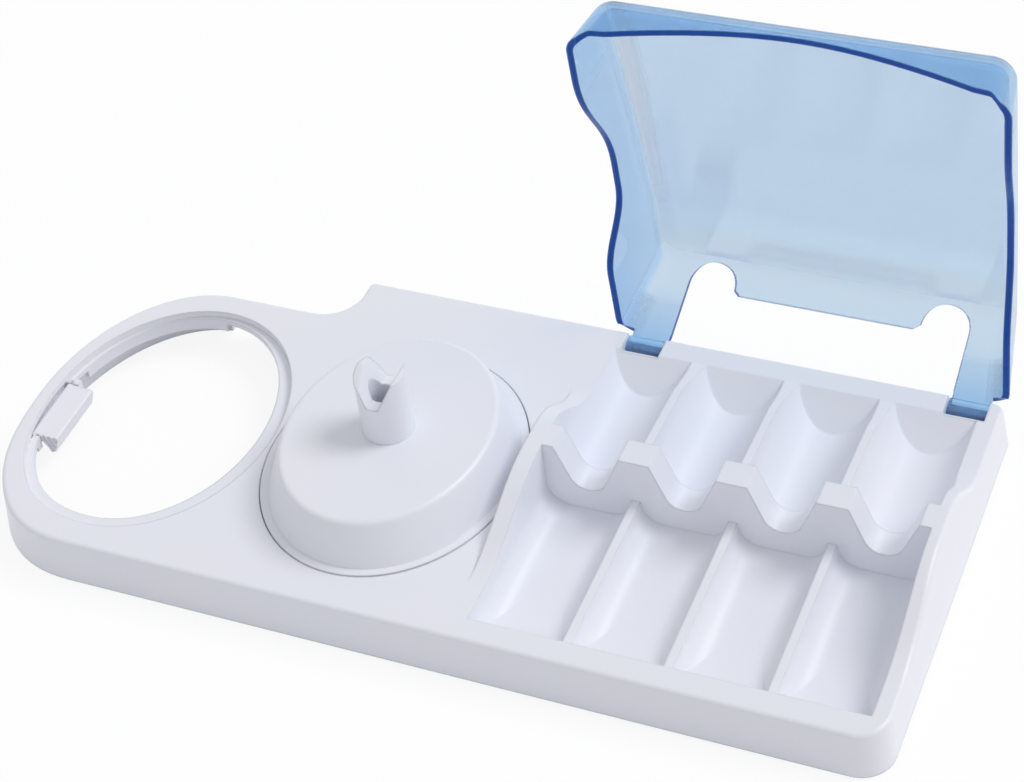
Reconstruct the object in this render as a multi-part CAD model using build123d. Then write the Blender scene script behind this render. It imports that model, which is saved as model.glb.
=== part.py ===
from build123d import *
import math
import os

# Electric toothbrush holder: a white tray with an open charger ring, a raised handle pedestal and a
# block of brush head compartments under a hinged see-through lid, stored with the lid open.
# Building frame, in mm: x = 0 at the right-hand side and negative to the left, y = 0 at the front,
# z = 0 on the table. The last function moves every piece so that the origin is the bottom centre.

# Tray plate
depth = 101.6
step_depth = 14.0
ring_depth = depth - step_depth
right_corner_radius = 7.5
back_corner_radius = 2.5
step_x = -157.6
step_corner_radius = 2.5
least_round = 0.3
step_hollow_radius = 8.0
end_centre_x = -187.0
end_reach = 31.0
plate_top = 11.8
rim_bottom = 0.6
side_draft = 1.3
plate_wall = 2.0
skirt_wall = 2.0
edge_round = 1.0
rim_fullness = 0.735

# Charger ring: an open oval in the plate, with a ledge a little below its edge
ring_middle_x = -184.6
ring_half_width = 28.8
ring_front_band = 7.8
ring_back_band = 7.4
ring_half = (ring_half_width, (ring_depth - ring_front_band - ring_back_band) / 2)
ring_centre = (ring_middle_x, ring_front_band + ring_half[1])
ledge_drop = 1.8
ledge_left, ledge_right = 1.3, 4.1
ledge_front, ledge_back = 3.7, 0.9
ledge_half = (ring_half[0] - (ledge_left + ledge_right) / 2, ring_half[1] - (ledge_front + ledge_back) / 2)
ledge_centre = (ring_centre[0] + (ledge_left - ledge_right) / 2, ring_centre[1] + (ledge_front - ledge_back) / 2)
ledge_thick = 1.3
stop_rib_height = 3.4
stop_rib_wall = 1.5
stop_rib_angles = (92, 158)
cord_arch_width = 9.0
cord_arch_height = 6.0

# Charger clip: a tongue with a round bead at its root, whose ends turn in sockets in the tray
clip_width = 17.5
clip_middle_y = ring_centre[1] - 4.2
clip_thick = 2.0
clip_reach = 7.4
clip_droop = 0.3
clip_nose_low = 5.2
clip_nose_start = 3.0
clip_nose_width = 1.3
clip_gap = 0.25
clip_bead_radius = 1.2
clip_bead_drop = 1.3
clip_bead_end = 1.0
clip_bead_clearance = 0.05
clip_slot_depth = 0.4
socket_wall = 0.8
clip_rib_radius = 0.35
clip_rib_count = 3
clip_rib_pitch = 1.3
clip_rib_slant = 25

# Handle pedestal
pedestal_centre = (-125.5, depth / 2 - 5.4)
pedestal_top_half = (23.3, 29.6)
pedestal_base_half = (27.3, 33.2)
pedestal_rise = 10.7
pedestal_wall = 2.0
flange_width = 1.9
flange_thick = 1.4
flange_gap = 0.25
flange_proud = 0.15
collar_depth = 3.2
collar_gap = 0.2
pedestal_edge_round = 1.3
spigot_diameter = 11.6
spigot_height = 16.6
spigot_bore = 5.6
notch_depth = 6.4
notch_half_top = 4.3
notch_floor_half = 1.3
prong_bevel = 2.6
prong_top = 0.6
prong_slope = 0.447

# Brush head compartments
block_centre_x = -48.5
compartment_count = 4
inner_width = 86.6
divider_wall = 2.0
block_front_y = 7.2
block_back_y = depth - 7.3
tub_wall = 1.6
side_wall = 3.9
front_floor_z = 3.2
ridge_z = 9.0
cross_front_y = 51.6
cross_back_y = 58.4
cross_lean = 0.4
back_lean = 0.6
land_z = 20.5
hump_start_y = 16.0
hump_peak_front_y = 50.5
hump_peak_back_y = 57.5
hump_end_y = depth - 22.6
front_corner_round = 5.5
scoop_length = 15.0
scoop_tangents = ((0.45, -1), (1, -0.02))
front_lip = 0.9
notch_bottom_z = 9.2
notch_bottom_radius = 4.4
notch_mouth = 14.4
back_floor_z = 5.8
back_floor_end_y = block_back_y - 7.8
back_slope_run = 3.0
back_divider_front_z = 18.0
back_divider_mid_z = 16.4
back_divider_mid_y = block_back_y - 14.3

# Lid, drawn closed
lid_centre_x = -47.2
lid_half_width = 46.4
lid_rim_z = plate_top + 0.4
lid_side_lean = 0.16
lid_front_y = 3.2
lid_front_lean = 0.07
lid_rear_y = depth - 2.0
lid_rear_lean = 0.25
lid_roof_places = (-0.0295, 0.3937, 0.7677, 0.9744)
lid_roof_heights = (24.4, 31.2, 34.2, 34.0)
lid_roof = [(share * depth, z) for share, z in zip(lid_roof_places, lid_roof_heights)]
lid_wall = 1.6
lid_corner_round = 5.4
lid_rear_round = 5.5
lid_top_round = 3.6
lid_gap = 0.4
lid_open_angle = 81.5
arch_end_x = 44.0
arch_corner = (41.8, 14.0)
arch_shoulder = (38.2, 14.4)
arch_haunch = (20.0, 18.9)
arch_top_z = 21.0
tab_half = 20.8
tab_edge = (lid_rear_y - 3.6, 27.0)
window_notch_x = 27.8
window_notch_radius = 5.6
window_notch_top = (lid_rear_y - 6.6, 33.5)
leg_inner_foot = 33.6
leg_outer = 42.4

# Lid hinge
hinge_y = depth - 2.8
hinge_z = plate_top - 3.3
knuckle_radius = 2.7
knuckle_gap = 0.3
pin_radius = 1.2
pin_clearance = 0.05
lug_width = 3.2
recess_wall = 1.4
recess_depth = 1.9
pin_inset = 0.6

# Rubber feet
foot_diameter = 8.0
foot_height = 1.6
foot_boss_wall = 1.2
foot_back_y = depth - 10.6
foot_corner_y = depth - 13.1
foot_places = [(-154.5, 10.8), (-149.5, foot_back_y), (-82.0, 24.0), (-15.0, 24.0), (-15.0, foot_corner_y),
               (-104.5, foot_back_y)]

inner_right_x = block_centre_x + inner_width / 2
inner_left_x = block_centre_x - inner_width / 2
pocket_width = (inner_width - (compartment_count - 1) * divider_wall) / compartment_count
pitch = pocket_width + divider_wall
pocket_centres = [inner_left_x + pocket_width / 2 + i * pitch for i in range(compartment_count)]
ledge_top = plate_top - ledge_drop
far = 300.0
past = 2.0
sink = 0.5
sliver = 0.01


def arc(centre, radius, start, end):
    """Arc about a centre, from one angle to another, in degrees."""
    def at(angle):
        turn = math.radians(angle)
        return (centre[0] + radius * math.cos(turn), centre[1] + radius * math.sin(turn))
    return ThreePointArc(at(start), at((start + end) / 2), at(end))


def full_quarter(centre, half):
    """Front left quarter of an oval, a little fuller than that of an ellipse."""
    (x, y), (across, along) = centre, half
    middle = (x - rim_fullness * across, y - rim_fullness * along)
    return Spline((x - across, y), middle, (x, y - along), tangents=((0, -1), (1, 0)))


def outline(inset, z):
    """Plan of the tray, drawn in from its outer bottom edge."""
    front, back, ring_back = inset, depth - inset, ring_depth - inset
    right, step = -inset, step_x + inset
    corner = right_corner_radius
    rear = back_corner_radius
    small = max(step_corner_radius - inset, least_round)
    hollow = (step_x - step_hollow_radius, ring_depth + step_hollow_radius)
    half_y = ring_depth / 2 - inset
    with BuildSketch(Plane.XY.offset(z)) as sketch:
        with BuildLine():
            Line((end_centre_x, front), (right - corner, front))
            arc((right - corner, front + corner), corner, -90, 0)
            Line((right, front + corner), (right, back - rear))
            arc((right - rear, back - rear), rear, 0, 90)
            Line((right - rear, back), (step + small, back))
            arc((step + small, back - small), small, 90, 180)
            Line((step, back - small), (step, hollow[1]))
            arc(hollow, step_hollow_radius + inset, 0, -90)
            Line((hollow[0], ring_back), (end_centre_x, ring_back))
            EllipticalCenterArc((end_centre_x, ring_depth / 2), end_reach - inset, half_y, 90, arc_size=90)
            full_quarter((end_centre_x, ring_depth / 2), (end_reach - inset, half_y))
        make_face()
    return sketch.sketch


def drafted(inset, bottom, top):
    """Solid between two heights whose sides lean in like those of the tray."""
    lean = side_draft / (plate_top - rim_bottom)
    low = outline(inset + lean * (bottom - rim_bottom), bottom)
    high = outline(inset + lean * (top - rim_bottom), top)
    return loft([low, high], ruled=True)


def slab(x0, x1, y0, y1, z0, z1):
    """Box from its six faces."""
    return Pos((x0 + x1) / 2, (y0 + y1) / 2, (z0 + z1) / 2) * Box(x1 - x0, y1 - y0, z1 - z0)


def oval(centre, half, z):
    return Plane.XY.offset(z) * Pos(*centre) * Ellipse(*half)


def oval_prism(centre, half, z0, z1):
    return extrude(oval(centre, half, z0), z1 - z0)


def ring_prism(centre, half, z0, z1):
    """Upright solid on the ring's oval, whose front left quarter is fuller than an ellipse's."""
    with BuildSketch(Plane.XY.offset(z0)) as sketch:
        with BuildLine():
            EllipticalCenterArc(centre, half[0], half[1], -90, arc_size=270)
            full_quarter(centre, half)
        make_face()
    return extrude(sketch.sketch, z1 - z0)


def grown(half, amount):
    return (half[0] + amount, half[1] + amount)


def side_prism(wire, x0, x1):
    """Solid with the given outline in Y and Z, running from x0 to x1."""
    face = make_face(Plane.YZ.offset(x0) * wire)
    return extrude(face, x1 - x0, dir=(1, 0, 0))


def front_prism(wire, y0, y1):
    """Solid with the given outline in X and Z, running from y0 to y1."""
    face = make_face(Plane.XZ.offset(-y0) * wire)
    return extrude(face, y1 - y0, dir=(0, 1, 0))


def hump_line(lift):
    """Top edge of the block's side walls, from front to back, raised by a gap."""
    low, high = plate_top + lift, land_z + lift
    flat = (1, 0)
    return [
        Line((-far, low), (hump_start_y, low)),
        Spline((hump_start_y, low), (hump_peak_front_y, high), tangents=(flat, flat)),
        Line((hump_peak_front_y, high), (hump_peak_back_y, high)),
        Spline((hump_peak_back_y, high), (hump_end_y, low), tangents=(flat, flat)),
        Line((hump_end_y, low), (far, low)),
    ]


def below_hump(lift, x0, x1):
    """Everything under the side walls' top edge between two x values."""
    floor_z = -far
    low = plate_top + lift
    edges = hump_line(lift) + [
        Line((far, low), (far, floor_z)),
        Line((far, floor_z), (-far, floor_z)),
        Line((-far, floor_z), (-far, low)),
    ]
    return side_prism(Wire(edges), x0, x1)


def block_top():
    """Cross wall and rear dividers, as one ridge before the compartments are cut."""
    points = [
        (cross_front_y - cross_lean, plate_top - past),
        (cross_front_y, land_z),
        (cross_back_y, land_z),
        (cross_back_y + back_lean, back_divider_front_z),
        (back_divider_mid_y, back_divider_mid_z),
        (block_back_y, plate_top),
        (block_back_y, plate_top - past),
    ]
    ridge = side_prism(Wire.make_polygon([Vector(y, z) for y, z in points]), inner_left_x, inner_right_x)
    outer_ends = below_hump(0, inner_left_x, inner_right_x)
    cross_wall = slab(inner_left_x, inner_right_x, 0, cross_back_y + back_lean, 0, far)
    dividers = slab(pocket_centres[0], pocket_centres[-1], 0, far, 0, far)
    return ridge & (outer_ends + cross_wall + dividers)


def tray_envelope():
    """Outside of the tray: plate, side walls of the block, cross wall and rear dividers."""
    tall = drafted(0, rim_bottom, land_z + past)
    plate = slab(-far, far, -far, far, rim_bottom, plate_top)
    right_wall = below_hump(0, inner_right_x, far)
    left_wall = below_hump(0, inner_left_x - side_wall, inner_left_x)
    body = tall & (plate + right_wall + left_wall + block_top())
    rim = outline(side_draft, plate_top).wires()[0]
    outer = [edge for edge in body.edges() if rim.distance_to(Vertex(edge @ 0.5)) < sliver]
    return fillet(outer, edge_round)


def front_pocket(x):
    """Front half of one compartment: a scoop, shallow at the front and deep at the cross wall."""
    x0, x1 = x - pocket_width / 2, x + pocket_width / 2
    top = land_z + past
    start = (block_front_y, plate_top)
    lip = (block_front_y + front_lip, ridge_z)
    floor = (block_front_y + scoop_length, front_floor_z)
    edges = [
        Line((block_front_y, top), start),
        Line(start, lip),
        Spline(lip, floor, tangents=scoop_tangents),
        Line(floor, (cross_front_y, front_floor_z)),
        Line((cross_front_y, front_floor_z), (cross_front_y, top)),
        Line((cross_front_y, top), (block_front_y, top)),
    ]
    side = side_prism(Wire(edges), x0 - past, x1 + past)
    with BuildSketch(Plane.XZ.offset(-block_front_y)) as section:
        with Locations((x, (front_floor_z + top) / 2)):
            Rectangle(pocket_width, top - front_floor_z)
        fillet(section.vertices().group_by(Axis.Z)[0], front_corner_round)
    trough = extrude(section.sketch, -(cross_front_y - block_front_y))
    return trough & side


def open_front():
    """Space above the ridges between the front halves."""
    outline_points = [
        (block_front_y, land_z + past),
        (block_front_y, plate_top),
        (block_front_y + front_lip, ridge_z),
        (cross_front_y, ridge_z),
        (cross_front_y, land_z + past),
    ]
    wire = Wire.make_polygon([Vector(y, z) for y, z in outline_points])
    return side_prism(wire, inner_left_x, inner_right_x)


def back_pocket(x):
    """Rear half of one compartment: a round-bottomed trough with a sloping end."""
    radius = pocket_width / 2
    y0 = cross_back_y
    length = block_back_y + sliver - y0
    high = land_z + past
    with BuildSketch(Plane((x, y0, 0), x_dir=(1, 0, 0), z_dir=(0, 1, 0))) as sketch:
        with Locations((0, -back_floor_z - radius)):
            Circle(radius)
        with Locations((0, -back_floor_z - radius - high / 2)):
            Rectangle(2 * radius, high)
    trough = extrude(sketch.sketch, length)
    end_slope = [
        (y0 - past, 0),
        (back_floor_end_y - back_slope_run, 0),
        (back_floor_end_y, back_floor_z),
        (block_back_y, plate_top),
        (block_back_y + sliver, high),
        (y0 - past, high),
    ]
    wire = Wire.make_polygon([Vector(y, z) for y, z in end_slope])
    keep = side_prism(wire, x - radius - past, x + radius + past)
    return trough & keep


def wall_notch(x):
    """Rounded notch that cradles a brush head's neck, through the cross wall."""
    radius, half = notch_bottom_radius, notch_mouth / 2
    centre_z = notch_bottom_z + radius
    lean = math.atan2(half - radius, land_z - centre_z)
    tangent = (radius * math.cos(lean), centre_z - radius * math.sin(lean))
    high = land_z + past
    reach = tangent[0] + (high - tangent[1]) * math.tan(lean)
    points = ((-reach, high), (-tangent[0], tangent[1]), (tangent[0], tangent[1]), (reach, high))
    with BuildSketch(Plane.XZ.offset(sink - cross_front_y)) as sketch:
        with BuildLine():
            Line(points[0], points[1])
            ThreePointArc(points[1], (0, notch_bottom_z), points[2])
            Line(points[2], points[3])
            Line(points[3], points[0])
        make_face()
    length = cross_back_y + back_lean - cross_front_y + 2 * sink
    return Pos(x, 0, 0) * extrude(sketch.sketch, -length)


def block_tub():
    """Walls and floors of the block below the plate, left solid when the tray is hollowed."""
    front = slab(inner_left_x - tub_wall, inner_right_x + tub_wall, block_front_y - tub_wall,
                 cross_back_y + 2 * tub_wall, front_floor_z - tub_wall, plate_top)
    rear = slab(inner_left_x - tub_wall, inner_right_x + tub_wall, cross_back_y,
                block_back_y + tub_wall, back_floor_z - tub_wall, plate_top)
    return front + rear


def foot_bosses():
    """Flat-ended posts and pads under the tray that carry the rubber feet."""
    radius = foot_diameter / 2 + foot_boss_wall
    return [Pos(x, y, 0) * extrude(Plane.XY.offset(foot_height) * Circle(radius), plate_top - foot_height - sink)
            for x, y in foot_places]


def hinge_sides():
    """The two x ranges of the lid's knuckles, left then right."""
    return [(lid_centre_x - leg_outer, lid_centre_x - leg_inner_foot),
            (lid_centre_x + leg_inner_foot, lid_centre_x + leg_outer)]


def hinge_lugs():
    """Solid blocks behind the compartments that hold the hinge pins."""
    lugs = []
    for x0, x1 in hinge_sides():
        lugs.append(slab(x0 - knuckle_gap - lug_width, x1 + knuckle_gap + lug_width, block_back_y,
                         depth - skirt_wall, hinge_z - knuckle_radius - knuckle_gap - recess_wall, plate_top - sink))
    return lugs


def hinge_recesses():
    """Pockets in the rear rim where the lid's knuckles turn."""
    gap = knuckle_gap
    cuts = []
    for x0, x1 in hinge_sides():
        cuts.append(slab(x0 - gap, x1 + gap, hinge_y - knuckle_radius - gap, far,
                         hinge_z - knuckle_radius - gap, far))
        cuts.append(slab(x0 - gap, x1 + gap, block_back_y - sink, far, plate_top - recess_depth, far))
    return cuts


def pin_cylinder(x0, x1, radius):
    return Pos((x0 + x1) / 2, hinge_y, hinge_z) * Rot(0, 90, 0) * Cylinder(radius, x1 - x0)


def pin_spans():
    """X range of each hinge pin, held in the lugs on both sides of a knuckle."""
    beyond = knuckle_gap + lug_width - pin_inset
    return [(x0 - beyond, x1 + beyond) for x0, x1 in hinge_sides()]


def tray_shell():
    """The white tray, hollow underneath."""
    body = tray_envelope()
    inside = drafted(skirt_wall, rim_bottom - past, plate_top - plate_wall)
    ledge = ring_prism(ring_centre, grown(ring_half, plate_wall), ledge_top - ledge_thick, plate_top)
    seat_half = grown(pedestal_base_half, flange_width + flange_gap)
    seat_z = plate_top + flange_proud - flange_thick
    seat = oval_prism(pedestal_centre, grown(seat_half, plate_wall), seat_z - plate_wall, plate_top)
    solid = [ledge, seat, block_tub()] + foot_bosses() + hinge_lugs()
    for piece in solid:
        inside -= piece
    body -= inside
    body -= open_front()
    for x in pocket_centres:
        body -= front_pocket(x)
        body -= back_pocket(x)
        body -= wall_notch(x)
    body -= ring_prism(ring_centre, ring_half, ledge_top, far)
    body -= ring_prism(ledge_centre, ledge_half, 0, far)
    body -= oval_prism(pedestal_centre, seat_half, seat_z, far)
    collar_half = grown(pedestal_base_half, collar_gap)
    body -= oval_prism(pedestal_centre, collar_half, 0, far)
    for cut in hinge_recesses():
        body -= cut
    for x0, x1 in pin_spans():
        body -= pin_cylinder(x0, x1, pin_radius)
    return body


def lid_plan(inset, z):
    """Plan of the closed lid at one height, or of its inner form when drawn in by the wall."""
    rise = z - lid_rim_z
    half = lid_half_width - lid_side_lean * rise - inset
    front = lid_front_y + lid_front_lean * rise + inset
    rear = lid_rear_y - lid_rear_lean * rise - inset
    with BuildSketch(Plane.XY.offset(z)) as sketch:
        with Locations((lid_centre_x, (front + rear) / 2)):
            Rectangle(2 * half, rear - front)
        fillet(sketch.vertices().group_by(Axis.Y)[0], lid_corner_round - inset)
        fillet(sketch.vertices().group_by(Axis.Y)[-1], lid_rear_round - inset)
    return sketch.sketch


def lid_block(inset):
    """Outer form of the closed lid, or its inner form when drawn in by the wall."""
    low, high = hinge_z - 2 * knuckle_radius, max(z for y, z in lid_roof) + past
    sides = loft([lid_plan(inset, low), lid_plan(inset, high)], ruled=True)
    roof = [(y - inset / 2, z - inset) for y, z in lid_roof]
    edges = [
        Spline(*roof),
        Line(roof[-1], (far, roof[-1][1])),
        Line((far, roof[-1][1]), (far, -far)),
        Line((far, -far), (roof[0][0], -far)),
        Line((roof[0][0], -far), roof[0]),
    ]
    wide = lid_half_width + past
    block = sides & side_prism(Wire(edges), lid_centre_x - wide, lid_centre_x + wide)
    top = block.faces().sort_by(Axis.Z)[-1]
    return fillet(top.edges(), lid_top_round - inset)


def front_arch_cut():
    """Opening under the lid's front edge: an arch for a finger, nearly level at both ends."""
    places = ((lid_half_width, 0), (lid_half_width, lid_rim_z), (arch_end_x, lid_rim_z), arch_corner, arch_shoulder)
    left = [(-x, z) for x, z in places]
    right = list(reversed(places))
    edges = [Line(a, b) for a, b in zip(left, left[1:])]
    edges.append(Spline(left[-1], (-arch_haunch[0], arch_haunch[1]), (0, arch_top_z), arch_haunch, right[0]))
    edges += [Line(a, b) for a, b in zip(right, right[1:])]
    edges.append(Line(right[-1], left[0]))
    section = Pos(lid_centre_x, 0, 0) * Wire(edges)
    return front_prism(section, -past, lid_front_y + lid_corner_round + 2 * past)


def window_cut():
    """Window in the lid's rear: a tab between two round-topped notches, over the gap between the legs."""
    def down(y, z):
        return (y - z) / math.sqrt(2)
    radius = window_notch_radius
    top = down(*window_notch_top)
    tab = down(*tab_edge)
    foot = down(depth, 0) + past
    inner, outer = window_notch_x - radius, window_notch_x + radius
    plane = Plane(origin=(lid_centre_x, 0, 0), x_dir=(1, 0, 0), z_dir=(0, 1, 1))
    with BuildSketch(plane) as sketch:
        with BuildLine():
            Line((-tab_half, tab), (tab_half, tab))
            for side in (-1, 1):
                Line((side * tab_half, tab), (side * inner, top + radius))
                ThreePointArc((side * inner, top + radius), (side * window_notch_x, top),
                              (side * outer, top + radius))
                Line((side * outer, top + radius), (side * leg_inner_foot, foot))
            Line((-leg_inner_foot, foot), (leg_inner_foot, foot))
        make_face()
    return extrude(sketch.sketch, far, both=True)


def lid_closed():
    """The see-through lid in its closed place, with its two legs and knuckles."""
    shell = lid_block(0) - lid_block(lid_wall)
    x0, x1 = lid_centre_x - lid_half_width - past, lid_centre_x + lid_half_width + past
    under = below_hump(lid_gap, x0, x1)
    for left, right in hinge_sides():
        under -= slab(left, right, lid_rear_y - lid_rear_round, far, 0, far)
    shell -= under
    shell -= slab(x0, x1, -far, far, -far, hinge_z)
    shell -= front_arch_cut()
    shell -= window_cut()
    shell -= swing_space()
    for left, right in hinge_sides():
        shell += pin_cylinder(left, right, knuckle_radius)
    for left, right in pin_spans():
        shell -= pin_cylinder(left, right, pin_radius + pin_clearance)
    return shell


def swing_space():
    """Room that the tray's rear edge needs as the lid turns, beside the knuckles."""
    reach = math.hypot(depth - hinge_y, plate_top - hinge_z) + lid_gap
    wide = lid_half_width + past
    space = pin_cylinder(lid_centre_x - wide, lid_centre_x + wide, reach)
    for x0, x1 in hinge_sides():
        space -= slab(x0, x1, 0, far, 0, far)
    return space


def lid():
    """The lid turned up to the stored pose."""
    hinge = Axis((0, hinge_y, hinge_z), (1, 0, 0))
    return lid_closed().rotate(hinge, -lid_open_angle)


def hinge_pins():
    return [pin_cylinder(x0, x1, pin_radius) for x0, x1 in pin_spans()]


def rubber_feet():
    shape = Pos(0, 0, foot_height / 2) * Cylinder(foot_diameter / 2, foot_height)
    return [Pos(x, y, 0) * shape for x, y in foot_places]


def pedestal_cone(inset, low, high):
    """Tapered oval body between two heights, drawn in by a wall."""
    base_z, top_z = plate_top + flange_proud, plate_top + pedestal_rise
    def at(z):
        share = (z - base_z) / (top_z - base_z)
        half = [b + (t - b) * share - inset for b, t in zip(pedestal_base_half, pedestal_top_half)]
        return oval(pedestal_centre, half, z)
    return loft([at(low), at(high)], ruled=True)


def handle_pedestal():
    """Raised oval cap with a flange in the tray's seat, a collar below and the notched spigot on top."""
    base_z, top_z = plate_top + flange_proud, plate_top + pedestal_rise
    seat_z = base_z - flange_thick
    cap = pedestal_cone(0, base_z, top_z)
    cap = fillet(cap.edges().group_by(Axis.Z)[-1], pedestal_edge_round)
    flange = oval_prism(pedestal_centre, grown(pedestal_base_half, flange_width), seat_z, base_z)
    collar = oval_prism(pedestal_centre, pedestal_base_half, seat_z - collar_depth, base_z)
    body = cap + flange + collar
    hollow_half = grown(pedestal_base_half, -pedestal_wall)
    body -= oval_prism(pedestal_centre, hollow_half, 0, base_z)
    body -= pedestal_cone(pedestal_wall, base_z, top_z - pedestal_wall)
    return body + spigot(top_z - sink) - spigot_bore_cut(top_z)


def spigot(z0):
    """Post for the handle's hollow foot, notched at its tip."""
    x, y = pedestal_centre
    radius = spigot_diameter / 2
    tip_z = plate_top + pedestal_rise + spigot_height
    height = tip_z - z0
    post = Pos(x, y, z0 + height / 2) * Cylinder(radius, height)
    floor_z = tip_z - notch_depth
    high = tip_z + past
    points = [(-notch_half_top, tip_z), (-notch_floor_half, floor_z), (notch_floor_half, floor_z),
              (notch_half_top, tip_z), (notch_half_top, high), (-notch_half_top, high)]
    wire = Wire.make_polygon([Vector(px, pz) for px, pz in points])
    cut = extrude(make_face(Plane.XZ * wire), spigot_diameter, both=True)
    post -= Pos(x, y, 0) * cut
    edge, crest = -radius - past, tip_z + prong_top
    wedge_points = [(edge, crest - prong_slope * (prong_bevel - edge)), (prong_bevel, crest), (edge, crest)]
    wedge = side_prism(Wire.make_polygon([Vector(py, pz) for py, pz in wedge_points]), edge, 0)
    return post - Pos(x, y, 0) * wedge


def spigot_bore_cut(top_z):
    """Drain hole down through the spigot and the pedestal's top."""
    x, y = pedestal_centre
    low, high = top_z - pedestal_wall - past, top_z + spigot_height + past
    return Pos(x, y, (low + high) / 2) * Cylinder(spigot_bore / 2, high - low)


def stop_rib():
    """Curved rib under the ring's ledge that the charger's rear rests against."""
    start, end = stop_rib_angles
    low = ledge_top - stop_rib_height
    ring = ring_prism(ledge_centre, grown(ledge_half, stop_rib_wall), low, ledge_top - ledge_thick / 2)
    ring -= ring_prism(ledge_centre, ledge_half, 0, far)
    def at(angle):
        turn = math.radians(angle)
        return (ring_centre[0] + far * math.cos(turn), ring_centre[1] + far * math.sin(turn))
    wedge = Polygon(ring_centre, at(start), at((start + end) / 2), at(end), align=None)
    return ring & extrude(Plane.XY * wedge, far)


def clip_span(extra):
    """Front and back of the clip's width, plus something at each end."""
    half = clip_width / 2 + extra
    return clip_middle_y - half, clip_middle_y + half


def clip_slot():
    """Gap in the ring's ledge where the clip comes through."""
    front, back = clip_span(clip_gap)
    left = ring_centre[0] - ring_half[0] - clip_slot_depth
    return slab(left, ring_centre[0], front, back, 0, ledge_top + clip_gap)


def bead_place():
    """X and Z of the line that the clip turns about."""
    return ring_centre[0] - ring_half[0] + clip_bead_radius, ledge_top - clip_bead_drop


def bead_cylinder(radius, extra):
    x, z = bead_place()
    front, back = clip_span(extra)
    return Pos(x, (front + back) / 2, z) * Rot(90, 0, 0) * Cylinder(radius, back - front)


def clip_sockets():
    """Blocks under the ledge, beside the slot, that hold the ends of the clip's bead."""
    x, z = bead_place()
    reach = clip_bead_radius + clip_bead_clearance + socket_wall
    front, back = clip_span(clip_gap + clip_bead_end + socket_wall)
    left = ring_centre[0] - ring_half[0] - plate_wall
    return slab(left, x + reach, front, back, z - reach, ledge_top)


def clip_profile():
    """Outline of the clip's tongue in X and Z: flat, with a nose that points down."""
    root_x = ring_centre[0] - ring_half[0]
    start, tip_x = bead_place()[0], root_x + clip_reach
    top, under = ledge_top - clip_bead_drop + clip_bead_radius, ledge_top - clip_thick
    points = [
        (start, under),
        (start, top),
        (tip_x - sink, top - clip_droop),
        (tip_x, top - clip_droop - sink),
        (tip_x - clip_nose_width, clip_nose_low),
        (tip_x - 2 * clip_nose_width, clip_nose_low),
        (root_x + clip_nose_start, under),
    ]
    return Wire.make_polygon([Vector(x, z) for x, z in points])


def charger_clip():
    """Springy tongue that reaches into the ring and grips the charger's side, ribbed at its front end."""
    front, back = clip_span(0)
    ribbed = front + clip_rib_radius
    body = front_prism(clip_profile(), ribbed, back) + bead_cylinder(clip_bead_radius, clip_gap + clip_bead_end)
    band = front_prism(clip_profile(), front, ribbed + sink)
    nose_x = ring_centre[0] - ring_half[0] + clip_nose_start
    for i in range(clip_rib_count):
        place = Pos(nose_x + i * clip_rib_pitch, ribbed, ledge_top) * Rot(0, -clip_rib_slant, 0)
        body += band & (place * Cylinder(clip_rib_radius, far))
    return body


def cord_arch():
    """Arched gap in the ring's rear skirt for the charger's cord."""
    x, half = ring_centre[0], cord_arch_width / 2
    spring_z = rim_bottom + cord_arch_height - half
    arch = Pos(x, ring_depth, spring_z) * Rot(90, 0, 0) * Cylinder(half, 4 * skirt_wall)
    return arch + slab(x - half, x + half, ring_depth - 2 * skirt_wall, ring_depth + 2 * skirt_wall, 0, spring_z)


def tray():
    """The tray with its ring finished."""
    sockets = bead_cylinder(clip_bead_radius + clip_bead_clearance, clip_gap + clip_bead_end + clip_bead_clearance)
    return tray_shell() + stop_rib() + clip_sockets() - clip_slot() - sockets - cord_arch()


def build():
    """All pieces by name, in the building frame."""
    return {
        "tray_shell": tray(),
        "charger_clip": charger_clip(),
        "handle_pedestal": handle_pedestal(),
        "lid": lid(),
        "hinge_pins": Compound(hinge_pins()),
        "rubber_feet": Compound(rubber_feet()),
    }


def write():
    pieces = build()
    box = Compound(list(pieces.values())).bounding_box()
    shift = Pos(-(box.min.X + box.max.X) / 2, -(box.min.Y + box.max.Y) / 2, -box.min.Z)
    print("moved by", shift.position, "box", box)
    os.makedirs("parts", exist_ok=True)
    for name, piece in pieces.items():
        moved = shift * piece
        print(name, len(moved.solids()), round(moved.volume), moved.is_valid)
        export_step(moved, f"parts/{name}.step")


write()
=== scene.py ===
import math

import bpy
from mathutils import Matrix, Vector

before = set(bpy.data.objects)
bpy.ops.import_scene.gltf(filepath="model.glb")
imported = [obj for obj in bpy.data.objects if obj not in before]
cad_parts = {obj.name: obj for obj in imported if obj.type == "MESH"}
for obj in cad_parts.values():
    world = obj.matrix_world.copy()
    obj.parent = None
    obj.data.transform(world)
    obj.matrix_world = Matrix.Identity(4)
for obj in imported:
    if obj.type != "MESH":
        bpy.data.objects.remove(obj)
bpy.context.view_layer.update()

# Camera fitted to the photograph: places in metres, roll in radians
EYE = Vector((0.185551, -0.345971, 0.386535))
AIM = Vector((-0.005595, 0.023581, 0.0))
ROLL = 0.134665
FOCAL_PX = 2407.508
IMAGE_WIDTH = 1024
SENSOR_MM = 36.0
NEAREST, FARTHEST = 0.01, 50.0

# Light: an even sky and one broad sun
SKY_LEVEL = 0.575
SKY_COLOUR = (0.97, 0.98, 1.0)
KEY_LEVEL = 0.395
KEY_COLOUR = (1.0, 0.99, 0.98)
KEY_FROM = Vector((0.55, 0.38, 0.80))
KEY_ANGLE = math.radians(28)

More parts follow.
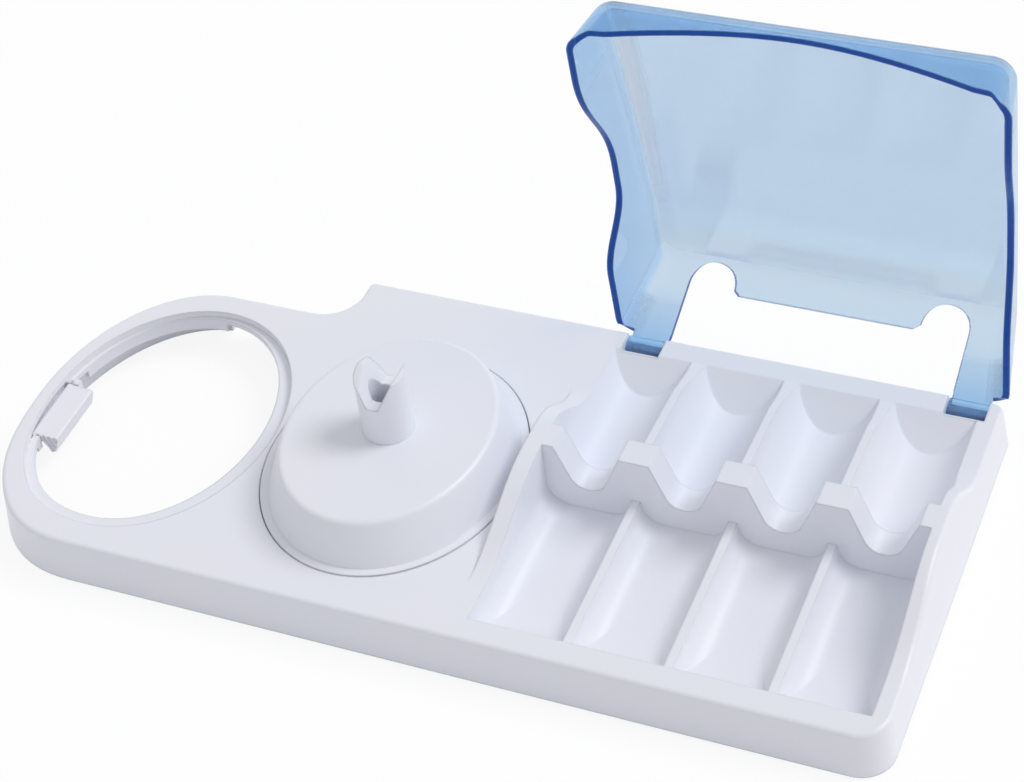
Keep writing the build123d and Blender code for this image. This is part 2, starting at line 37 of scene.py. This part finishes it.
# Floor and background that show white
FLOOR_HALF = 3.0
FLOOR_COLOUR = (0.93, 0.93, 0.94)
FLOOR_GLOW = 1.02
FLOOR_GLOW_SHARE = 0.85
BACKGROUND = (1.0, 1.0, 1.0)

# Colours, linear
WHITE = (0.85, 0.865, 0.94)
WHITE_WARM = (0.865, 0.872, 0.93)
# Painted highlight: the paler colour laid along the white plastic's sharp edges
PAINTED_EDGE_HIGHLIGHT = (0.90, 0.91, 0.95)
LID_ROOF = (0.585, 0.725, 0.88)
LID_SIDE = (0.41, 0.60, 0.84)
LID_FRONT = (0.32, 0.56, 0.86)
# Painted light: the paler, greyer band painted on the roof's rear slope, where the light on the
# roof changes as it turns down
LID_REAR_PAINTED_BAND = (0.61, 0.735, 0.85)
LID_FOOT = (0.27, 0.53, 0.84)
LID_RIM = (0.006, 0.065, 0.36)
# Colour where the lid's skin isn't see-through: its haze, and the painted light on the rear slope
# and the right-facing front faces
LID_HAZE_AND_PAINTED_LIGHT = (0.66, 0.79, 0.91)
# Painted highlight: the pale band painted where the roof rounds into the side walls
LID_SHOULDER_HIGHLIGHT = (0.86, 0.91, 0.96)
# Painted shade: the dark line painted along the lid's rounded top edge, where refraction darkens
# it
LID_EDGE_SHADE_LINE = (0.10, 0.20, 0.36)
LID_SHADE = (0.93, 0.965, 1.0)
STEEL = (0.52, 0.52, 0.54)
STEEL_SPECK = (0.36, 0.36, 0.37)
RUBBER = (0.50, 0.50, 0.52)
RUBBER_DUST = (0.60, 0.60, 0.61)

# Surface roughness, least and most, and what a sharp edge adds
WHITE_ROUGH = (0.26, 0.36)
LID_ROUGH = (0.05, 0.13)
STEEL_ROUGH = (0.24, 0.42)
RUBBER_ROUGH = (0.62, 0.80)
EDGE_ROUGHER = 0.06

# Index of refraction
WHITE_IOR = 1.49
LID_IOR = 1.46

# Noise: how much its finer layers weigh, and its scale per metre where it is drawn out
NOISE_ROUGHNESS = 0.5
LID_STREAKS = (26.0, 90.0, 90.0)
STEEL_LINES = (60.0, 4200.0, 4200.0)

# Cosine of the angle between the rounded and the flat normal, where an edge starts and is full
EDGE_START, EDGE_FULL = 0.995, 0.80
EDGE_SAMPLES = 6
# Share of the painted highlight that makes the white plastic's sharp edges paler
PAINTED_EDGE_HIGHLIGHT_SHARE = 0.45

# Hinge line and the angle that the lid stands open, as in the CAD source
HINGE = Vector((0.0618, 0.0372, 0.0085))
LID_OPEN = math.radians(81.5)
DIAGONAL = 0.7071

# Masks of the lid. Each is the product of ramps, which are 0 at their first number and 1 at their
# second. Places are metres from the hinge line with the lid turned shut: across, along (minus is
# towards the front) and up, and pin_squared is the square of the distance from the pins. The rest
# are parts of the surface's normal: 1 where it faces that way, whichever way round for sideways,
# lengthways, level and slanted.
LID_MASKS = {
    "wall": (("sideways", 0.55, 0.88),),
    "front": (("lengthways", 0.55, 0.85), ("along", -0.070, -0.080)),
    # rear: where the painted band of light lies, on the roof's rear slope
    "rear": (("along", -0.0190, -0.0155), ("sideways", 0.80, 0.55)),
    "foot": (("up", 0.017, 0.001), ("along", -0.030, -0.012)),
    "under": (("facing_up", -0.20, -0.45), ("up", 0.0142, 0.0132),
              ("pin_squared", 0.0000094, 0.0000116)),
    "cut": (("slanted", 0.35, 0.20), ("along", -0.022, -0.018), ("aside", 0.0352, 0.0344)),
    # shoulder: where the painted highlight lies, along the roof's rounded junction with the side
    # walls
    "shoulder": (("across", -0.0368, -0.0388), ("across", -0.0430, -0.0410),
                 ("sideways", 0.88, 0.60), ("along", -0.008, -0.065), ("level", 0.25, 0.45)),
    # outline: where the painted shade line lies, along the rounded top edge
    "outline": (("facing_up", 0.24, 0.36), ("lengthways", 0.40, 0.55),
                ("along", -0.070, -0.080)),
    # right: where a pale strip is painted as light on the right-facing front faces, which face the
    # key
    "right": (("facing_right", 0.80, 0.95), ("along", -0.086, -0.076)),
}

# Tints of the see-through lid by mask, each laid over the ones before. The rear one is a painted
# band of light on the roof's rear slope.
LID_TINTS = {"wall": LID_SIDE, "front": LID_FRONT, "rear": LID_REAR_PAINTED_BAND, "foot": LID_FOOT}
LID_CLOUD_SHARE = 0.12

# Share of the see-through that bends light. The rest goes straight on, through two skins of the
# wall, so each takes this power of the tint.
LID_GLASS_SHARE = 0.35
ONE_SKIN = 0.5

# Share of the lid's skin that isn't see-through: least and most everywhere as haze, and added by
# mask as painted light
LID_MILKY = (0.02, 0.08)
# Painted light by mask: the shoulder highlight, the dark shade line along the top edge, the band
# on the rear slope and the pale strip on the right-facing front faces
LID_PAINTED_LIGHT_SHARE = {"shoulder": 0.55, "outline": 0.50, "rear": 0.05, "right": 0.22}

# The dark rim: its share, what a sharp edge takes off it, and the gloss off and on the rim
RIM_SHARE = 0.98
RIM_EDGE_LESS = 0.40
RIM_GLOSS = (0.5, 0.12)


class Tree:
    """Node tree of a new material or of the world, with helpers that add and link nodes."""

    def __init__(self, owner, output="ShaderNodeOutputMaterial"):
        owner.use_nodes = True
        self.owner = owner
        self.tree = owner.node_tree
        self.tree.nodes.clear()
        self.out = self.add(output)

    def add(self, kind, inputs=None, **settings):
        node = self.tree.nodes.new(kind)
        for key, value in settings.items():
            setattr(node, key, value)
        for key, value in (inputs or {}).items():
            self.put(node.inputs[key], value)
        return node

    def put(self, socket, value):
        """Links a socket, or sets its number, vector or colour."""
        if isinstance(value, bpy.types.NodeSocket):
            self.tree.links.new(value, socket)
        elif socket.type == "RGBA":
            socket.default_value = (*value, 1.0)
        else:
            socket.default_value = value

    def surface(self, shader):
        self.put(self.out.inputs["Surface"], shader)
        return self.owner

    def math(self, operation, a, b=0.0):
        return self.add("ShaderNodeMath", {0: a, 1: b}, operation=operation).outputs[0]

    def size(self, value):
        return self.math("ABSOLUTE", value)

    def times(self, first, *others):
        for value in others:
            first = self.math("MULTIPLY", first, value)
        return first

    def noise(self, vector, scale, detail):
        node = self.add("ShaderNodeTexNoise", {"Vector": vector, "Scale": scale,
                                               "Detail": detail, "Roughness": NOISE_ROUGHNESS})
        return node.outputs["Fac"]

    def stretched(self, vector, scale):
        mapping = self.add("ShaderNodeMapping", {"Vector": vector, "Scale": scale})
        return mapping.outputs[0]

    def span(self, value, low=0.0, high=1.0, to=(0.0, 1.0)):
        node = self.add("ShaderNodeMapRange", {"Value": value, "From Min": low, "From Max": high,
                                               "To Min": to[0], "To Max": to[1]})
        return node.outputs["Result"]

    def blend(self, factor, a, b):
        """Colour a where the factor is 0 and b where it is 1."""
        node = self.add("ShaderNodeMix", data_type="RGBA")
        for name, value in (("Factor", factor), ("A", a), ("B", b)):
            self.put(node.inputs[name], value)
        return node.outputs["Result"]

    def mix(self, factor, a, b):
        """Shader a where the factor is 0 and b where it is 1."""
        return self.add("ShaderNodeMixShader", {"Fac": factor, 1: a, 2: b}).outputs[0]

    def edges(self, radius):
        """Rounded shading normal, and a mask that is 1 along sharp edges."""
        bevel = self.add("ShaderNodeBevel", {"Radius": radius}, samples=EDGE_SAMPLES).outputs[0]
        plain = self.add("ShaderNodeNewGeometry").outputs["Normal"]
        dot = self.add("ShaderNodeVectorMath", {0: bevel, 1: plain}, operation="DOT_PRODUCT")
        return bevel, self.span(dot.outputs["Value"], EDGE_START, EDGE_FULL)

    def bump(self, height, distance, strength, normal=None):
        node = self.add("ShaderNodeBump", {"Height": height, "Distance": distance,
                                           "Strength": strength})
        if normal is not None:
            self.put(node.inputs["Normal"], normal)
        return node.outputs[0]

    def seen_directly(self):
        """1 for rays that show the background: from the camera, by gloss or through plastic."""
        path = self.add("ShaderNodeLightPath").outputs
        first = self.math("MAXIMUM", path["Is Camera Ray"], path["Is Glossy Ray"])
        return self.math("MAXIMUM", first, path["Is Transmission Ray"])


def new_material(name):
    """Tree of a new material, and the coordinates of the piece that wears it."""
    t = Tree(bpy.data.materials.new(name))
    return t, t.add("ShaderNodeTexCoord").outputs


def moulded_white(name):
    """Satin white moulded plastic: faint cloudiness, fine grain, light scuffs, and sharp edges
    made paler by a painted highlight.
    """
    t, coordinates = new_material(name)
    place = coordinates["Object"]
    clouds = t.noise(place, scale=24.0, detail=1.0)
    grain = t.noise(place, scale=1100.0, detail=1.0)
    scuffs = t.noise(place, scale=90.0, detail=2.0)
    normal, edge = t.edges(radius=0.0007)
    base = t.blend(clouds, WHITE, WHITE_WARM)
    rougher = t.math("MULTIPLY", edge, EDGE_ROUGHER)
    shader = t.add("ShaderNodeBsdfPrincipled", {
        # Sharp edges made paler by a painted highlight
        "Base Color": t.blend(t.math("MULTIPLY", edge, PAINTED_EDGE_HIGHLIGHT_SHARE), base, PAINTED_EDGE_HIGHLIGHT),
        "Roughness": t.math("ADD", t.span(scuffs, to=WHITE_ROUGH), rougher),
        "IOR": WHITE_IOR,
        "Normal": t.bump(grain, distance=0.000004, strength=0.2, normal=normal),
    })
    return t.surface(shader.outputs[0])


def turned_shut(t, vector):
    """X, Y and Z of a vector on the open lid, turned to where it points when the lid is shut."""
    turned = t.add("ShaderNodeVectorRotate", {"Vector": vector, "Angle": LID_OPEN},
                   rotation_type="X_AXIS")
    return t.add("ShaderNodeSeparateXYZ", {0: turned.outputs[0]}).outputs


def lid_masks(t, coordinates):
    """The masks of LID_MASKS, and rim for the underside's and the cut ends' dark edges."""
    from_hinge = t.add("ShaderNodeVectorMath", {0: coordinates["Object"], 1: HINGE},
                       operation="SUBTRACT")
    across, along, up = turned_shut(t, from_hinge.outputs[0])
    facing_right, facing_back, facing_up = turned_shut(t, coordinates["Normal"])
    slope = t.math("ADD", facing_back, facing_up)
    measures = {
        "across": across,
        "aside": t.size(across),
        "along": along,
        "up": up,
        "pin_squared": t.math("ADD", t.times(along, along), t.times(up, up)),
        "facing_right": facing_right,
        "facing_up": facing_up,
        "sideways": t.size(facing_right),
        "lengthways": t.size(facing_back),
        "level": t.size(facing_up),
        "slanted": t.size(t.times(slope, DIAGONAL)),
    }
    masks = {}
    for name, ramps in LID_MASKS.items():
        masks[name] = t.times(*[t.span(measures[key], low, high) for key, low, high in ramps])
    masks["rim"] = t.math("MAXIMUM", masks["under"], masks["cut"])
    return masks


def clear_blue(name):
    """See-through blue plastic: deeper in the walls and feet, dark along its rim and cut ends,
    with painted light on its shoulders, top edge, rear slope and right-facing front faces.
    """
    t, coordinates = new_material(name)
    place = coordinates["Object"]
    masks = lid_masks(t, coordinates)
    clouds = t.noise(place, scale=30.0, detail=2.0)
    swirl = t.noise(t.stretched(place, LID_STREAKS), scale=1.0, detail=3.0)
    normal, edge = t.edges(radius=0.0006)

    # Tints laid on by mask; the rear one is a painted band of light on the roof's rear slope
    tint = LID_ROOF
    for mask, colour in LID_TINTS.items():
        tint = t.blend(masks[mask], tint, colour)
    tint = t.blend(t.span(clouds, to=(0.0, LID_CLOUD_SHARE)), tint, LID_SIDE)
    skin = t.add("ShaderNodeGamma", {"Color": tint, "Gamma": ONE_SKIN})
    straight = t.add("ShaderNodeBsdfTransparent", {"Color": skin.outputs[0]})

    rougher = t.math("MULTIPLY", edge, EDGE_ROUGHER)
    rough = t.math("ADD", t.span(swirl, to=LID_ROUGH), rougher)
    bumped = t.bump(swirl, distance=0.00006, strength=0.2, normal=normal)
    glass = t.add("ShaderNodeBsdfPrincipled", {
        "Base Color": tint,
        "Roughness": rough,
        "IOR": LID_IOR,
        "Transmission Weight": 1.0,
        "Normal": bumped,
    })
    see = t.mix(LID_GLASS_SHARE, straight.outputs[0], glass.outputs[0])

    # Colour of the skin that isn't see-through: haze, plus the painted highlight on the shoulders
    # and the painted shade line along the top edge
    haze_and_painted_colour = t.blend(masks["outline"], t.blend(masks["shoulder"], LID_HAZE_AND_PAINTED_LIGHT, LID_SHOULDER_HIGHLIGHT), LID_EDGE_SHADE_LINE)
    plastic = t.add("ShaderNodeBsdfPrincipled", {
        "Base Color": t.blend(masks["rim"], haze_and_painted_colour, LID_RIM),
        "Roughness": rough,
        "Specular IOR Level": t.span(masks["rim"], to=RIM_GLOSS),
        "IOR": WHITE_IOR,
        "Normal": bumped,
    })
    # Share that isn't see-through: random haze, plus the painted light added by mask
    haze_and_painted_share = t.span(swirl, to=LID_MILKY)
    for mask, share in LID_PAINTED_LIGHT_SHARE.items():
        haze_and_painted_share = t.math("ADD", haze_and_painted_share, t.math("MULTIPLY", masks[mask], share))
    rim_share = t.math("SUBTRACT", RIM_SHARE, t.math("MULTIPLY", edge, RIM_EDGE_LESS))
    solid = t.math("MAXIMUM", haze_and_painted_share, t.math("MULTIPLY", masks["rim"], rim_share))
    body = t.mix(solid, see, plastic.outputs[0])

    clear = t.add("ShaderNodeBsdfTransparent", {"Color": LID_SHADE})
    path = t.add("ShaderNodeLightPath").outputs
    passing = t.math("MAXIMUM", path["Is Shadow Ray"], path["Is Diffuse Ray"])
    return t.surface(t.mix(passing, body, clear.outputs[0]))


def drawn_steel(name):
    """Drawn wire: fine lines along its length and darker specks."""
    t, coordinates = new_material(name)
    place = coordinates["Object"]
    lines = t.noise(t.stretched(place, STEEL_LINES), scale=1.0, detail=3.0)
    specks = t.noise(place, scale=900.0, detail=3.0)
    shader = t.add("ShaderNodeBsdfPrincipled", {
        "Base Color": t.blend(t.span(specks, low=0.45, high=0.7), STEEL, STEEL_SPECK),
        "Metallic": 1.0,
        "Roughness": t.span(lines, low=0.3, high=0.7, to=STEEL_ROUGH),
        "Normal": t.bump(lines, distance=0.00003, strength=0.3),
    })
    return t.surface(shader.outputs[0])


def soft_rubber(name):
    """Grey rubber with a dull grain and a little dust."""
    t, coordinates = new_material(name)
    place = coordinates["Object"]
    dust = t.noise(place, scale=420.0, detail=4.0)
    grain = t.noise(place, scale=3200.0, detail=2.0)
    normal, _ = t.edges(radius=0.0005)
    shader = t.add("ShaderNodeBsdfPrincipled", {
        "Base Color": t.blend(t.span(dust, low=0.4, high=0.7), RUBBER, RUBBER_DUST),
        "Roughness": t.span(dust, low=0.3, high=0.7, to=RUBBER_ROUGH),
        "Normal": t.bump(grain, distance=0.00004, strength=0.4, normal=normal),
    })
    return t.surface(shader.outputs[0])


def dress(node, material):
    """Gives a piece of the frame its one material."""
    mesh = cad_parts[node].data
    mesh.materials.clear()
    mesh.materials.append(material)


def add_to_scene(name, data):
    thing = bpy.data.objects.new(name, data)
    bpy.context.scene.collection.objects.link(thing)
    return thing


def make_floor():
    """Wide pale floor that shows white with a faint shadow."""
    mesh = bpy.data.meshes.new("studio_floor")
    corners = [(-1, -1), (1, -1), (1, 1), (-1, 1)]
    mesh.from_pydata([(FLOOR_HALF * x, FLOOR_HALF * y, 0) for x, y in corners], [], [(0, 1, 2, 3)])
    t = Tree(bpy.data.materials.new("floor_white"))
    matt = t.add("ShaderNodeBsdfDiffuse", {"Color": FLOOR_COLOUR})
    glow = t.add("ShaderNodeEmission", {"Color": BACKGROUND, "Strength": FLOOR_GLOW})
    share = t.math("MULTIPLY", t.seen_directly(), FLOOR_GLOW_SHARE)
    mesh.materials.append(t.surface(t.mix(share, matt.outputs[0], glow.outputs[0])))
    floor = add_to_scene("studio_floor", mesh)


def make_world():
    """Even sky that lights the scene, and white where the background itself is seen."""
    world = bpy.data.worlds.new("studio")
    bpy.context.scene.world = world
    t = Tree(world, "ShaderNodeOutputWorld")
    light = t.add("ShaderNodeBackground", {"Color": SKY_COLOUR, "Strength": SKY_LEVEL})
    plain = t.add("ShaderNodeBackground", {"Color": BACKGROUND, "Strength": 1.0})
    t.surface(t.mix(t.seen_directly(), light.outputs[0], plain.outputs[0]))


def make_key():
    """Broad sun from the right, behind and above."""
    lamp = bpy.data.lights.new("key", "SUN")
    lamp.energy = math.pi * KEY_LEVEL
    lamp.angle = KEY_ANGLE
    lamp.color = KEY_COLOUR
    key = add_to_scene("key", lamp)
    key.rotation_mode = "QUATERNION"
    key.rotation_quaternion = KEY_FROM.to_track_quat("Z", "Y")


def make_camera():
    """Camera at the photograph's place, turned by its roll."""
    ahead = (AIM - EYE).normalized()
    side = ahead.cross(Vector((0, 0, 1))).normalized()
    down = ahead.cross(side)
    right = math.cos(ROLL) * side + math.sin(ROLL) * down
    low = -math.sin(ROLL) * side + math.cos(ROLL) * down
    camera = add_to_scene("camera", bpy.data.cameras.new("camera"))
    camera.data.sensor_width = SENSOR_MM
    camera.data.lens = FOCAL_PX * SENSOR_MM / IMAGE_WIDTH
    camera.data.clip_start, camera.data.clip_end = NEAREST, FARTHEST
    turn = Matrix((right, -low, -ahead)).transposed().to_4x4()
    camera.matrix_world = Matrix.Translation(EYE) @ turn
    bpy.context.scene.camera = camera


white = moulded_white("white_plastic")
for node in ("tray_shell", "charger_clip", "handle_pedestal"):
    dress(node, white)
dress("lid", clear_blue("clear_blue"))
dress("hinge_pins", drawn_steel("steel_pin"))
dress("rubber_feet", soft_rubber("foot_rubber"))

make_floor()
make_world()
make_key()
make_camera()
bpy.context.scene.view_settings.view_transform = "Standard"
